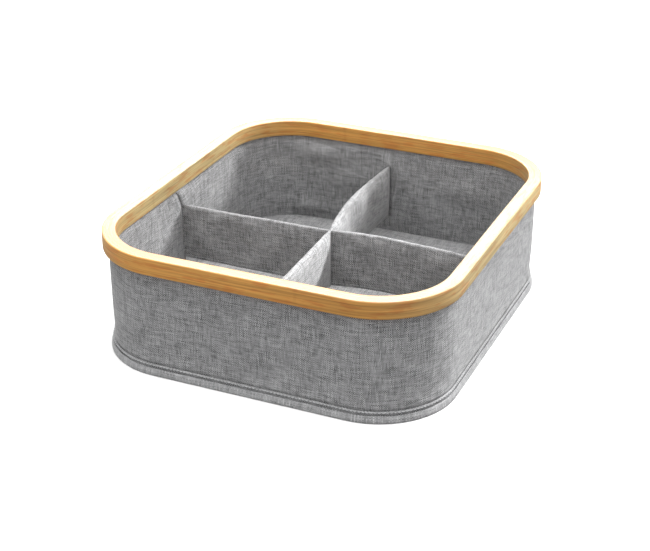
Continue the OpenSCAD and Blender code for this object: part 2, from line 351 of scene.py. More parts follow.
@dataclass(frozen=True)
class LinenWeave(Finish):
    """Plain-woven polyester of a linen look, piece dyed grey.

    The eye gets a fine check of threads over and under each other with painted shade in the
    gaps between them, lighter and darker slubs along single threads both ways, a slight mottle
    and a dry, faintly furry edge light.
    """

    name: str = "linen_look_polyester_plain_woven"
    light: str = "#c5c5c6"
    dark: str = "#373738"
    # Painted shade: the hollows between threads are darkened towards this colour.
    gap: str = "#383839"
    # Real threads are about 0.45 mm apart. The photo resolves a check of 0.85 mm, drawn here.
    warp_pitch: float = 0.85
    weft_pitch: float = 0.85
    slub_length: float = 13.0
    # The noise jumps by this many of its cells from thread to thread, so each has its own tone.
    jump: float = 5.731
    # How much lighter a thread of the warp is than one of the weft, as a share of light to dark
    check: float = 0.22
    gap_shade_depth: float = 0.45
    mottle: float = 0.08
    roughness: float = 0.88
    sheen: float = 0.25
    chart: Chart = Chart.UNROLLED

    def inputs(self, tree: NodeTree) -> dict[str, object]:
        """Draws the threads' tones, painted shade in the gaps between them and the cloth's dry
        surface.

        Args:
            tree: The material's node tree.

        Returns:
            The shader's inputs.
        """
        place = pattern_place(tree, self.chart)
        rate = (1 / (self.warp_pitch * MM), 1 / (self.weft_pitch * MM), 0.0)
        threads = add_node(tree, "VectorMath", {0: place, 1: rate}, operation="MULTIPLY")
        over = self.over_and_under(tree, threads)
        warp_up = add_node(tree, "Math", {0: over, 1: 0.0}, operation="GREATER_THAN")
        slubbed = self.slubs(tree, threads, warp_up)
        lift = add_node(
            tree, "Math", {0: warp_up, 1: self.check, 2: -self.check / 2},
            operation="MULTIPLY_ADD",
        )
        tone = add_node(tree, "Math", {0: slubbed, 1: lift}, operation="ADD")
        wide = add_node(tree, "TexNoise", {"Vector": place, "Scale": 28.0, "Detail": 2.0})
        mottled = add_node(
            tree, "Mix", {"Factor": self.mottle, "A": tone, "B": wide}, data_type="FLOAT"
        )
        colours = add_node(tree, "ValToRGB", {"Fac": mottled})
        ramp_colours(colours, ((0.22, self.dark), (0.78, self.light)))
        height = add_node(tree, "Math", {0: over}, operation="ABSOLUTE")
        # Painted shade: the colour darkens towards the gap colour where the threads dip under each
        # other.
        depth = add_node(
            tree, "MapRange",
            {"Value": height, "From Max": 0.6, "To Min": self.gap_shade_depth, "To Max": 0.0},
            interpolation_type="SMOOTHSTEP",
        )
        return {
            "Base Color": add_node(
                tree, "Mix", {"Factor": depth, "A": colours, "B": linear(self.gap)},
                data_type="RGBA",
            ),
            "Normal": add_node(
                tree, "Bump", {"Strength": 0.5, "Distance": 0.15 * MM, "Height": height}
            ),
            "Roughness": self.roughness,
            "Specular IOR Level": 0.25,
            "Sheen Weight": self.sheen,
            "Sheen Roughness": 0.45,
        }

    def slubs(self, tree: NodeTree, threads: NodeSocket, warp_up: NodeSocket) -> NodeSocket:
        """Draws the tone of the thread on top, which drifts along it and jumps between threads.

        Args:
            tree: The material's node tree.
            threads: The place counted in threads both ways.
            warp_up: 1 where a warp thread lies on top, and 0 elsewhere.

        Returns:
            A 0 to 1 noise socket.
        """
        counted = add_node(tree, "VectorMath", {0: threads}, operation="FLOOR")
        slub = self.weft_pitch / self.slub_length
        tones = []
        for jump, drift in (
            ((self.jump, 0.0, 0.0), (0.0, slub, 0.0)), ((0.0, self.jump, 0.0), (slub, 0.0, 0.0))
        ):
            numbered = add_node(tree, "VectorMath", {0: counted, 1: jump}, operation="MULTIPLY")
            drifting = add_node(
                tree, "VectorMath", {0: threads, 1: drift, 2: numbered}, operation="MULTIPLY_ADD"
            )
            tones.append(add_node(
                tree, "TexNoise",
                {"Vector": drifting, "Scale": 1.0, "Detail": 2.0, "Roughness": 0.65},
                noise_dimensions="2D",
            ))
        return add_node(
            tree, "Mix", {"Factor": warp_up, "A": tones[1], "B": tones[0]}, data_type="FLOAT"
        )

    def over_and_under(self, tree: NodeTree, threads: NodeSocket) -> NodeSocket:
        """Draws which thread lies on top.

        Args:
            tree: The material's node tree.
            threads: The place counted in threads both ways.

        Returns:
            A socket from -1, a weft thread's crown, to 1, a warp thread's crown.
        """
        half_turns = add_node(
            tree, "VectorMath", {0: threads, 1: (math.pi, math.pi, 0.0)}, operation="MULTIPLY"
        )
        waves = add_node(tree, "VectorMath", {0: half_turns}, operation="SINE")
        both = add_node(tree, "SeparateXYZ", {"Vector": waves}).node.outputs
        return add_node(tree, "Math", {0: both["X"], 1: both["Y"]}, operation="MULTIPLY")


@dataclass(frozen=True)
class SewingThread(Finish):
    """Spun polyester sewing thread, two-ply twisted.

    The eye gets slanting light and dark turns along each short stitch, which are painted shade
    in the grooves of the twist, with a soft shine.
    """

    name: str = "spun_polyester_sewing_thread"
    light: str = "#c9cacb"
    # Painted shade: the grooves between the twisted plies are darkened towards this colour.
    dark: str = "#8b8c8e"
    # A two-ply thread turns about once a millimetre.
    twist_pitch: float = 1.0
    # How fast the pattern turns round the thread, in radians per millimetre, which slants it
    twist_slant: float = 9.0
    roughness: float = 0.6

    def inputs(self, tree: NodeTree) -> dict[str, object]:
        """Draws the twist as painted shade in its grooves.

        Args:
            tree: The material's node tree.

        Returns:
            The shader's inputs.
        """
        place = pattern_place(tree, Chart.UNROLLED)
        rate = (2 * math.pi / (self.twist_pitch * MM), self.twist_slant / MM, 0.0)
        turns = add_node(tree, "VectorMath", {0: place, 1: rate}, operation="DOT_PRODUCT")
        wave = add_node(tree, "Math", {0: turns}, operation="SINE")
        share = add_node(tree, "MapRange", {"Value": wave, "From Min": -1.0})
        colours = add_node(tree, "ValToRGB", {"Fac": share})
        ramp_colours(colours, ((0.0, self.dark), (1.0, self.light)))
        return {"Base Color": colours, "Roughness": self.roughness, "Sheen Weight": 0.2}


@dataclass(frozen=True)
class Greyboard(Finish):
    """Recycled greyboard, pressed and cut.

    The eye gets flecks of paper fibre on a dull brown-grey sheet with no shine.
    """

    name: str = "recycled_greyboard_pressed"
    light: str = "#b3a58f"
    dark: str = "#857763"
    # Paper fibres and flecks are 1 to 3 mm long.
    fleck: float = 1.6
    roughness: float = 0.95

    def inputs(self, tree: NodeTree) -> dict[str, object]:
        """Draws the flecks.

        Args:
            tree: The material's node tree.

        Returns:
            The shader's inputs.
        """
        noise = add_node(
            tree, "TexNoise",
            {"Vector": pattern_place(tree, Chart.FLAT), "Scale": 1 / (self.fleck * MM),
             "Detail": 4.0, "Roughness": 0.7},
        )
        colours = add_node(tree, "ValToRGB", {"Fac": noise})
        ramp_colours(colours, ((0.35, self.dark), (0.65, self.light)))
        bump = add_node(tree, "Bump", {"Strength": 0.3, "Distance": 0.1 * MM, "Height": noise})
        return {"Base Color": colours, "Normal": bump, "Roughness": self.roughness}


@dataclass(frozen=True)
class StudioPaper(Finish):
    """White seamless studio paper, matt. The eye gets an even white ground with soft shade."""

    name: str = "white_studio_paper_matt"
    white: str = "#f7f7f7"
    # The paper's tooth is finer than this. It is drawn 2 mm wide to show at all.
    grain: float = 2.0

    def inputs(self, tree: NodeTree) -> dict[str, object]:
        """Draws the paper's tooth.

        Args:
            tree: The material's node tree.

        Returns:
            The shader's inputs.
        """
        noise = add_node(
            tree, "TexNoise",
            {"Vector": pattern_place(tree, Chart.FLAT), "Scale": 1 / (self.grain * MM)},
        )
        bump = add_node(tree, "Bump", {"Strength": 0.05, "Distance": 0.05 * MM, "Height": noise})
        return {"Base Color": linear(self.white), "Normal": bump, "Roughness": 0.95}


@dataclass(frozen=True)
class Ripple:
    """Slow, smooth unevenness of cloth or board, the same on each run.

    Fields: amount is its usual height in millimetres, along and up are the lengths of its waves
    round the basket and upwards, and seed picks the pattern.
    """

    amount: float
    along: float
    up: float
    seed: int
    waves: int = 7

    def at(self, way: Array, height: Array, lap: float = 0.0) -> Array:
        """Height of the ripple at places on a sheet.

        Args:
            way: Places along the sheet, in millimetres.
            height: Places up the sheet, in millimetres.
            lap: Length after which the pattern meets itself, or 0.

        Returns:
            Heights in millimetres, in the shape of way and height together.
        """
        draw = np.random.default_rng(self.seed)
        total = np.zeros(np.broadcast(way, height).shape)
        for _ in range(self.waves):
            cycles = draw.uniform(0.4, 1.6) / self.along
            if lap:
                cycles = max(round(cycles * lap), 1) / lap
            climb = draw.uniform(-1.2, 1.2) / self.up
            start = draw.uniform(0, 2 * math.pi)
            total = total + np.sin(2 * math.pi * (cycles * way + climb * height) + start)
        return self.amount * total / math.sqrt(self.waves / 2)


def smooth(low: float, high: float, value: Array) -> Array:
    """Rises smoothly from 0 at low to 1 at high, which may be below low."""
    t = np.clip((np.asarray(value, float) - low) / (high - low), 0.0, 1.0)
    return t * t * (3 - 2 * t)


def bell(centre: float, width: float, value: Array) -> Array:
    """A smooth bump of height 1 at centre that fades over width."""
    return np.exp(-(((np.asarray(value, float) - centre) / width) ** 2))


def walked(line: Array) -> Array:
    """Lengths walked along a line of points, from its first."""
    return np.r_[0.0, np.cumsum(np.hypot(*np.diff(line, axis=0).T))]


@dataclass(frozen=True)
class Plan:
    """The basket seen from above: a rectangle with round corners, walked from the back's middle.

    The walk goes left along the back, down the left side, right along the front and up the
    right side. It is measured at the wall's face, walk_inset in from the rim's outer face.
    """

    width: float = 300.0
    depth: float = 328.0
    corner: float = 68.0
    walk_inset: float = 5.0

    def __post_init__(self) -> None:
        """Lays out the nine runs and turns of the walk."""
        a, b = self.half_x, self.half_y
        arc = (self.corner - self.walk_inset) * math.pi / 2
        # length, start x, start y, direction x, direction y, heading in quarter turns, turning
        legs = np.array([
            (a, 0, b, -1, 0, 1, 0), (arc, -a, b, 0, 0, 1, 1), (2 * b, -a, b, 0, -1, 2, 0),
            (arc, -a, -b, 0, 0, 2, 1), (2 * a, -a, -b, 1, 0, 3, 0), (arc, a, -b, 0, 0, 3, 1),
            (2 * b, a, -b, 0, 1, 4, 0), (arc, a, b, 0, 0, 4, 1), (a, a, b, -1, 0, 5, 0),
        ])
        object.__setattr__(self, "legs", legs)
        object.__setattr__(self, "ends", np.cumsum(legs[:, 0]))

    @property
    def half_x(self) -> float:
        """Half the straight part of the front."""
        return self.width / 2 - self.corner

    @property
    def half_y(self) -> float:
        """Half the straight part of a side."""
        return self.depth / 2 - self.corner

    @property
    def lap(self) -> float:
        """Length of one walk round the basket."""
        return float(self.ends[-1])

    def on_back(self, x: float) -> float:
        """The way at x on the back side."""
        return -x

    def on_left(self, y: float) -> float:
        """The way at y on the left side."""
        return float(self.ends[1]) + self.half_y - y

    def on_front(self, x: float) -> float:
        """The way at x on the front side."""
        return float(self.ends[3]) + x + self.half_x

    def on_right(self, y: float) -> float:
        """The way at y on the right side."""
        return float(self.ends[5]) + y + self.half_y

    def locate(self, way: Array) -> tuple[Array, Array, Array, Array]:
        """Finds places of the walk.

        Args:
            way: How far along the walk, in millimetres, of any shape.

        Returns:
            The corner centres' rectangle there, the outward direction, the straight length
            walked and the angle turned.
        """
        way = np.asarray(way, float)
        laps = np.floor(way / self.lap)
        rest = way - laps * self.lap
        leg = np.clip(np.searchsorted(self.ends, rest, side="right"), 0, len(self.legs) - 1)
        length, x, y, dx, dy, heading, turning = np.moveaxis(self.legs[leg], -1, 0)
        on = rest - (self.ends[leg] - length)
        turn = (heading - 1) * math.pi / 2 + turning * on / (self.corner - self.walk_inset)
        straight = np.cumsum(self.legs[:, 0] * (1 - self.legs[:, 6]))
        run = straight[leg] - (1 - turning) * (length - on) + laps * straight[-1]
        angle = turn + math.pi / 2
        base = np.stack([x + dx * on, y + dy * on], -1)
        out = np.stack([np.cos(angle), np.sin(angle)], -1)
        return base, out, run, turn + laps * 2 * math.pi

    def outward(self, way: Array) -> Array:
        """Level unit directions out of the wall, for a row of ways."""
        return np.pad(self.locate(way)[1], ((0, 0), (0, 1)))

    def place(self, way: Array, inset: Array, height: Array) -> Array:
        """Turns way, inset and height into points.

        Args:
            way: Places along the walk.
            inset: How far in from the rim's outer face.
            height: Height above the table.

        Returns:
            Points in millimetres, with x, y and z last.
        """
        way, inset, height = np.broadcast_arrays(way, inset, height)
        base, out, _, _ = self.locate(way)
        flat = base + out * (self.corner - inset)[..., None]
        return np.concatenate([flat, height[..., None]], -1)

    def unrolled(self, way: Array, inset: Array) -> Array:
        """Length along a sheet bent round the basket at an inset, in millimetres."""
        _, _, run, turn = self.locate(way)
        return run + (self.corner - np.asarray(inset)) * turn

    def chart(self, way: Array, inset: float, across: Array) -> Array:
        """Unrolled places of a bent sheet, from its ways as a column and a row of places across."""
        return np.stack(np.broadcast_arrays(self.unrolled(way, inset), across), -1)

    def steps(self, start: float, end: float, step: float) -> Array:
        """Evenly spaced ways from start to end, about a step apart."""
        return np.linspace(start, end, max(int(math.ceil((end - start) / step)), 2) + 1)

    def ring(self, start: float, step: float) -> Array:
        """Ways once round the basket, about a step apart, as a column without its last."""
        return self.steps(start, start + self.lap, step)[:-1, None]

    def closed(self, ring: Array) -> Array:
        """A ring's ways with the last, which meets the first, put back."""
        return np.r_[ring, ring[:1] + self.lap]


PLAN = Plan()


@dataclass(frozen=True)
class Bulge:
    """A soft round bulge of the lining: its place, its half widths and its height."""

    way: float
    height: float
    wide: float
    tall: float
    rise: float

    def at(self, way: Array, height: Array) -> Array:
        """Height of the bulge in millimetres at places on the lining."""
        way = way - PLAN.lap * np.round((way - self.way) / PLAN.lap)
        return self.rise * bell(self.way, self.wide, way) * bell(self.height, self.tall, height)


def put(name: str, data: ID, back: Vector | None = None) -> Object:
    """Puts a new object into the scene.

    Args:
        name: Its name.
        data: Its mesh, lamp or camera.
        back: The direction that its Z axis turns to. A lamp or camera looks the other way.

    Returns:
        The object.
    """
    thing = bpy.data.objects.new(name, data)
    bpy.context.scene.collection.objects.link(thing)
    if back is not None:
        thing.rotation_mode = "QUATERNION"
        thing.rotation_quaternion = back.to_track_quat("Z", "Y")
    return thing


def finish_mesh(name: str, bm: bmesh.types.BMesh, sharp: float = 50.0) -> Object:
    """Turns a bmesh into a smooth-shaded object.

    Args:
        name: The object's name.
        bm: Its mesh, which is freed.
        sharp: Angle in degrees over which an edge stays sharp.

    Returns:
        The object, linked to the scene.
    """
    bmesh.ops.recalc_face_normals(bm, faces=bm.faces)
    mesh = bpy.data.meshes.new(name)
    bm.to_mesh(mesh)
    bm.free()
    mesh.shade_smooth()
    mesh.set_sharp_from_angle(angle=math.radians(sharp))
    return put(name, mesh)


def build_sheet(
    name: str,
    face: Array,
    back: Array,
    chart: Array,
    ring: bool = False,
    sharp: float = 50.0,
    over: float = 0.0,
) -> Object:
    """Makes a closed sheet from its two faces.

    Args:
        name: The piece's name.
        face: Points of the seen face in millimetres, rows along the sheet by columns across it.
        back: Points of the other face, in the same order.
        chart: Unrolled places of the seen face in millimetres. A ring has one row more.
        ring: Whether the last row joins the first.
        sharp: Angle in degrees over which an edge stays sharp.
        over: How far the pattern runs on over the sheet's edges, in millimetres.

    Returns:
        The new object.
    """
    rows, across = face.shape[:2]
    chart = np.concatenate([chart, chart[:, ::-1] + np.array([0.0, over])], 1)
    points = np.concatenate([face, back[:, ::-1]], 1).reshape(-1, 3) * MM
    around = 2 * across
    bm = bmesh.new()
    corners = [bm.verts.new(p) for p in points]
    layer = bm.loops.layers.uv.new("unrolled")
    quads = [
        [(i, j), (i, (j + 1) % around), (i + 1, (j + 1) % around), (i + 1, j)]
        for i in range(rows if ring else rows - 1)
        for j in range(around)
    ]
    if not ring:
        quads += [
            [(i, j), (i, j + 1), (i, around - 2 - j), (i, around - 1 - j)]
            for i in (0, rows - 1)
            for j in range(across - 1)
        ]
    for ids in quads:
        quad = bm.faces.new([corners[(i % rows) * around + j] for i, j in ids])
        for loop, (i, j) in zip(quad.loops, ids):
            loop[layer].uv = chart[i, j] * MM
    bmesh.ops.remove_doubles(bm, verts=bm.verts, dist=MERGE)
    return finish_mesh(name, bm, sharp)


def dress(piece: Object, material: Material, slot: str, *nodes: str) -> None:
    """Gives a piece its material and body, and hides the CAD nodes that it stands for.

    Args:
        piece: The new piece.
        material: Its material.
        slot: The record's material slot. Not used.
        nodes: The CAD nodes that it replaces.
    """
    piece.data.materials.append(material)
    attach(piece, "root")
    if nodes:
        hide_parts(*nodes)
    LOG.info("%s: %d faces", piece.name, len(piece.data.polygons))


@dataclass(frozen=True)
class Stitch:
    """A short bowed thread that dives into the cloth at both ends, sewn in rows.

    Fields: its length, thickness and pitch in millimetres, its rings and sides, and as shares of
    the thickness how far its crown stands out, how far its ends dive and how much they thin.
    """

    length: float
    thick: float
    pitch: float
    rings: int = 7
    sides: int = 6
    crown: float = 0.35
    dive: float = 0.95
    thin: float = 0.35

    def sew(
        self, name: str, centres: Array, along: Array, up: Array, thread: Material, slot: str
    ) -> None:
        """Makes and dresses a row of stitches.

        Args:
            name: The piece's name.
            centres: The stitches' middles on the cloth, in millimetres.
            along: Unit directions that the stitches run in.
            up: Unit directions out of the cloth.
            thread: The sewing thread's material.
            slot: The record's material slot.
        """
        bm = bmesh.new()
        layer = bm.loops.layers.uv.new("unrolled")
        shares = np.linspace(-1, 1, self.rings)
        turns = np.arange(self.sides) * 2 * math.pi / self.sides
        for number, (c, t, n) in enumerate(zip(centres, along, up)):
            side = np.cross(t, n)
            rows = []
            for share in shares:
                rise = self.thick * (self.crown - self.dive * share**4)
                size = self.thick / 2 * (1 - self.thin * share**4)
                middle = c + t * (share * self.length / 2) + n * rise
                rows.append([
                    bm.verts.new((middle + (side * math.cos(a) + n * math.sin(a)) * size) * MM)
                    for a in turns
                ])
            for i in range(self.rings - 1):
                for j in range(self.sides):
                    ids = [(i, j), (i, j + 1), (i + 1, j + 1), (i + 1, j)]
                    quad = bm.faces.new([rows[a][b % self.sides] for a, b in ids])
                    for loop, (a, b) in zip(quad.loops, ids):
                        run = (number + shares[a] / 2) * self.length
                        loop[layer].uv = (run * MM, b * self.thick / 2 * MM)
            for row in (rows[0][::-1], rows[-1]):
                bm.faces.new(row)
        dress(finish_mesh(name, bm, sharp=80.0), thread, slot)


@dataclass(frozen=True)
class Ply:
    """One bent ply of the rim.

    Fields: its node, its insets and lowest height, where its scarf joint is, and where along it
    its first stem joint and its lightest stretch lie.
    """

    node: str
    outer: float
    inner: float
    low: float
    joint_x: float
    joint_side: Side
    stem_joint: float
    lightest: float


@dataclass
class BambooRim:
    """The rim: four bent bamboo plies with a groove in the underside for the cloth."""

    top: float = 104.0
    edge: float = 1.0
    glue_line: float = 0.12
    # The top falls away this much towards the rim's two edges, as sanding leaves it.
    crown: float = 0.12
    scarf: float = 8.0
    scarf_blend: float = 70.0
    gap: float = 0.08
    step: float = 3.2
    bend: Ripple = Ripple(0.12, 260.0, 400.0, 11)
    plies: tuple[Ply, ...] = (
        Ply("rim_face_ply", 0.0, 3.0, 89.5, -60.0, Side.BACK, 43.5, 440.0),
        Ply("rim_middle_ply", 3.0, 5.9, 89.5, 60.0, Side.BACK, 90.0, 300.0),
        Ply("rim_core_ply", 5.9, 8.8, 98.5, 60.0, Side.FRONT, 170.0, 120.0),
        Ply("rim_inner_ply", 8.8, 11.4, 89.5, -60.0, Side.FRONT, 52.0, 20.0),
    )

    def outline(self, ply: Ply) -> tuple[Array, ...]:
        """Outer and inner lines of a ply's section, from its foot to its top.

        Args:
            ply: The ply.

        Returns:
            Two rows of inset and height with the same number of points.
        """
        quarter = np.linspace(0, math.pi / 2, 7)
        lines = []
        for flat, inwards, rounded in (
            (ply.outer, 1, ply is self.plies[0]), (ply.inner, -1, ply is self.plies[-1])
        ):
            radius = self.edge if rounded else self.glue_line
            inset = flat + inwards * radius * (1 - np.sin(quarter))
            rise = radius * (1 - np.cos(quarter))
            top = self.top - (self.crown if rounded else 0.0)
            lines.append(np.c_[np.r_[inset, inset[::-1]], np.r_[ply.low + rise, top - rise[::-1]]])
        return tuple(lines)

    def build_ply(self, ply: Ply) -> Object:
        """Sweeps one ply round the basket, closed on itself by a slanting scarf joint.

        Args:
            ply: The ply.

        Returns:
            The new piece.
        """
        x = ply.joint_x
        joint = PLAN.on_front(x) if ply.joint_side is Side.FRONT else PLAN.on_back(x)
        way = PLAN.steps(joint + self.gap / 2, joint + PLAN.lap - self.gap / 2, self.step)[:, None]
        far = np.minimum(way - way[0], way[-1] - way)
        slant = self.scarf * smooth(self.scarf_blend, 0.0, far)
        middle = (ply.outer + ply.inner) / 2
        lines = self.outline(ply)
        faces = []
        for inset, height in (line.T for line in lines):
            mine = way + slant * (inset - middle)
            faces.append(PLAN.place(mine, inset + self.bend.at(mine, height, PLAN.lap), height))
        return build_sheet(
            ply.node.replace("_ply", "_strip"), *faces,
            PLAN.chart(way, ply.outer, walked(lines[0])), sharp=32.0, over=ply.inner - ply.outer,
        )

    def build(self) -> None:
        """Builds and dresses the four plies."""
        for ply in self.plies:
            finish = BambooPly(
                name=f"bamboo_strip_lacquered_{ply.node.split('_')[1]}",
                joint_start=ply.stem_joint,
                drift_start=ply.lightest,
                lap=float(PLAN.unrolled(PLAN.lap, ply.outer) - PLAN.unrolled(0.0, ply.outer)),
            )
            dress(self.build_ply(ply), finish.make(), "bamboo", ply.node)


@dataclass
class WallCloth:
    """What both wall cloths share: they hang in the rim's groove and widen just below the rim."""

    thick: float = 0.8
    top: float = 97.9
    rim_low: float = 89.5
    tuck_low: float = 84.0

    def neck(self, tucked: float, wall: float) -> list[tuple[float, float]]:
        """Lists the cloth's face from the groove to just above where it joins the wall.

        Args:
            tucked: Its inset in the groove.
            wall: Its inset on the wall.

        Returns:
            Rows of inset and height.
        """
        drop = self.rim_low - self.tuck_low
        return [(tucked, self.top), (tucked, self.rim_low + 0.4)] + [
            (tucked + (wall - tucked) * s, self.rim_low - drop * s**0.8)
            for s in (0.12, 0.3, 0.55, 0.8)
        ]


@dataclass
class OuterCover(WallCloth):
    """Outer cloth: from the rim's groove down the wall, over the step and into the binding."""

    tuck_inset: float = 6.5
    wall_inset: float = 5.0
    step_top: float = 7.9
    step_low: float = 6.4
    # The welt's stitches pull the cloth in along a line just above it.
    crease: float = 10.2
    crease_depth: float = 0.62
    # Above the crease the cloth rolls out a little before it goes up the wall.
    roll: float = 0.42
    # The board behind stops the cloth from being drawn in further than this.
    give: float = 0.78
    foot: float = 0.9
    # Drawn in above the welt and fuller half way up: how far, at what height and how widely
    waist: tuple[float, float, float] = (0.5, 19.0, 9.0)
    belly: tuple[float, float, float] = (0.25, 55.0, 26.0)
    # Where the seam lies on the back, how deep its fold is and how far beside it the stitches run
    seam_x: float = -75.0
    seam_fold: float = 0.55
    seam_beside: float = 3.2
    stitch: Stitch = Stitch(2.0, 0.42, 2.6)
    step: float = 3.0
    slack: Ripple = Ripple(0.28, 150.0, 150.0, 21)

    def profile(self) -> Array:
        """Lists the cloth's face from the groove down to the foot.

        Returns:
            Rows of inset and height.
        """
        near_crease = (3.3, 2.6, 2.1, 1.7, 1.3, 0.9, 0.5, 0.2, -0.2, -0.6, -1.0)
        wall = np.r_[
            np.linspace(self.tuck_low, self.crease + 4.0, 20), self.crease + np.array(near_crease),
            self.step_top + 1.0,
        ]
        foot = [
            (self.wall_inset - 0.02, self.step_top), (4.7, 7.2), (4.32, self.step_low),
            (3.1, self.foot),
        ]
        neck = self.neck(self.tuck_inset, self.wall_inset)
        return np.array(neck + [(self.wall_inset, z) for z in wall] + foot)

    def drawn_in(self, way: Array, height: Array, far: Array) -> Array:
        """How far the cloth lies inside its even line.

        Args:
            way: Places along the walk.
            height: Heights above the table.
            far: How far each way is from the seam.

        Returns:
            Millimetres inwards.
        """
        rim, step, crease = self.rim_low, self.step_top, self.crease
        on_wall = smooth(rim - 1, rim - 12, height) * smooth(step + 1, step + 14, height)
        draw = self.waist[0] * bell(*self.waist[1:], height)
        draw = draw - self.belly[0] * bell(*self.belly[1:], height)
        in_by = (self.slack.at(way, height, PLAN.lap) + draw) * on_wall
        in_by = in_by + self.seam_fold * smooth(1.6, 0.0, far) * smooth(rim, rim - 3, height)
        roll = smooth(crease + 0.4, crease + 1.9, height) * smooth(crease + 12, crease + 2, height)
        creased = self.crease_depth * smooth(crease + 1.3, crease + 0.4, height)
        return np.minimum(in_by - self.roll * roll + creased, self.give)

    def build(self, cloth: Material, thread: Material) -> None:
        """Builds the cloth and its closing seam at the back.

        Args:
            cloth: The outer cloth's material.
            thread: The sewing thread's material.
        """
        seam = PLAN.on_back(self.seam_x)
        end = seam + PLAN.lap
        near = np.array([0.5, 1.0, 1.6, 2.4])
        way = np.r_[PLAN.steps(seam, end, self.step), seam + near, end - near]
        way = np.unique(way)[:-1, None]
        profile = self.profile()
        inset, height = profile.T
        inset = inset + self.drawn_in(way, height, np.minimum(way - seam, end - way))
        piece = build_sheet(
            "wall_cover_cloth", PLAN.place(way, inset, height),
            PLAN.place(way, inset + self.thick, height),
            PLAN.chart(PLAN.closed(way), self.wall_inset, -walked(profile)), ring=True,
        )
        dress(piece, cloth, "outer_fabric", "outer_cover")
        self.build_seam(thread)

    def build_seam(self, thread: Material) -> None:
        """Sews the upright seam at the back with one row of stitches.

        Args:
            thread: The sewing thread's material.
        """
        heights = np.arange(self.step_top + 4.5, self.rim_low - 3.0, self.stitch.pitch)
        way = np.full_like(heights, PLAN.on_back(self.seam_x) + self.seam_beside)
        inset = self.wall_inset + self.slack.at(way, heights, PLAN.lap)
        inset += smooth(self.tuck_low, self.rim_low, heights)
        self.stitch.sew(
            "wall_cover_seam_stitches", PLAN.place(way, inset, heights),
            np.tile([0.0, 0.0, 1.0], (len(way), 1)), PLAN.outward(way), thread, "binding_fabric",
        )


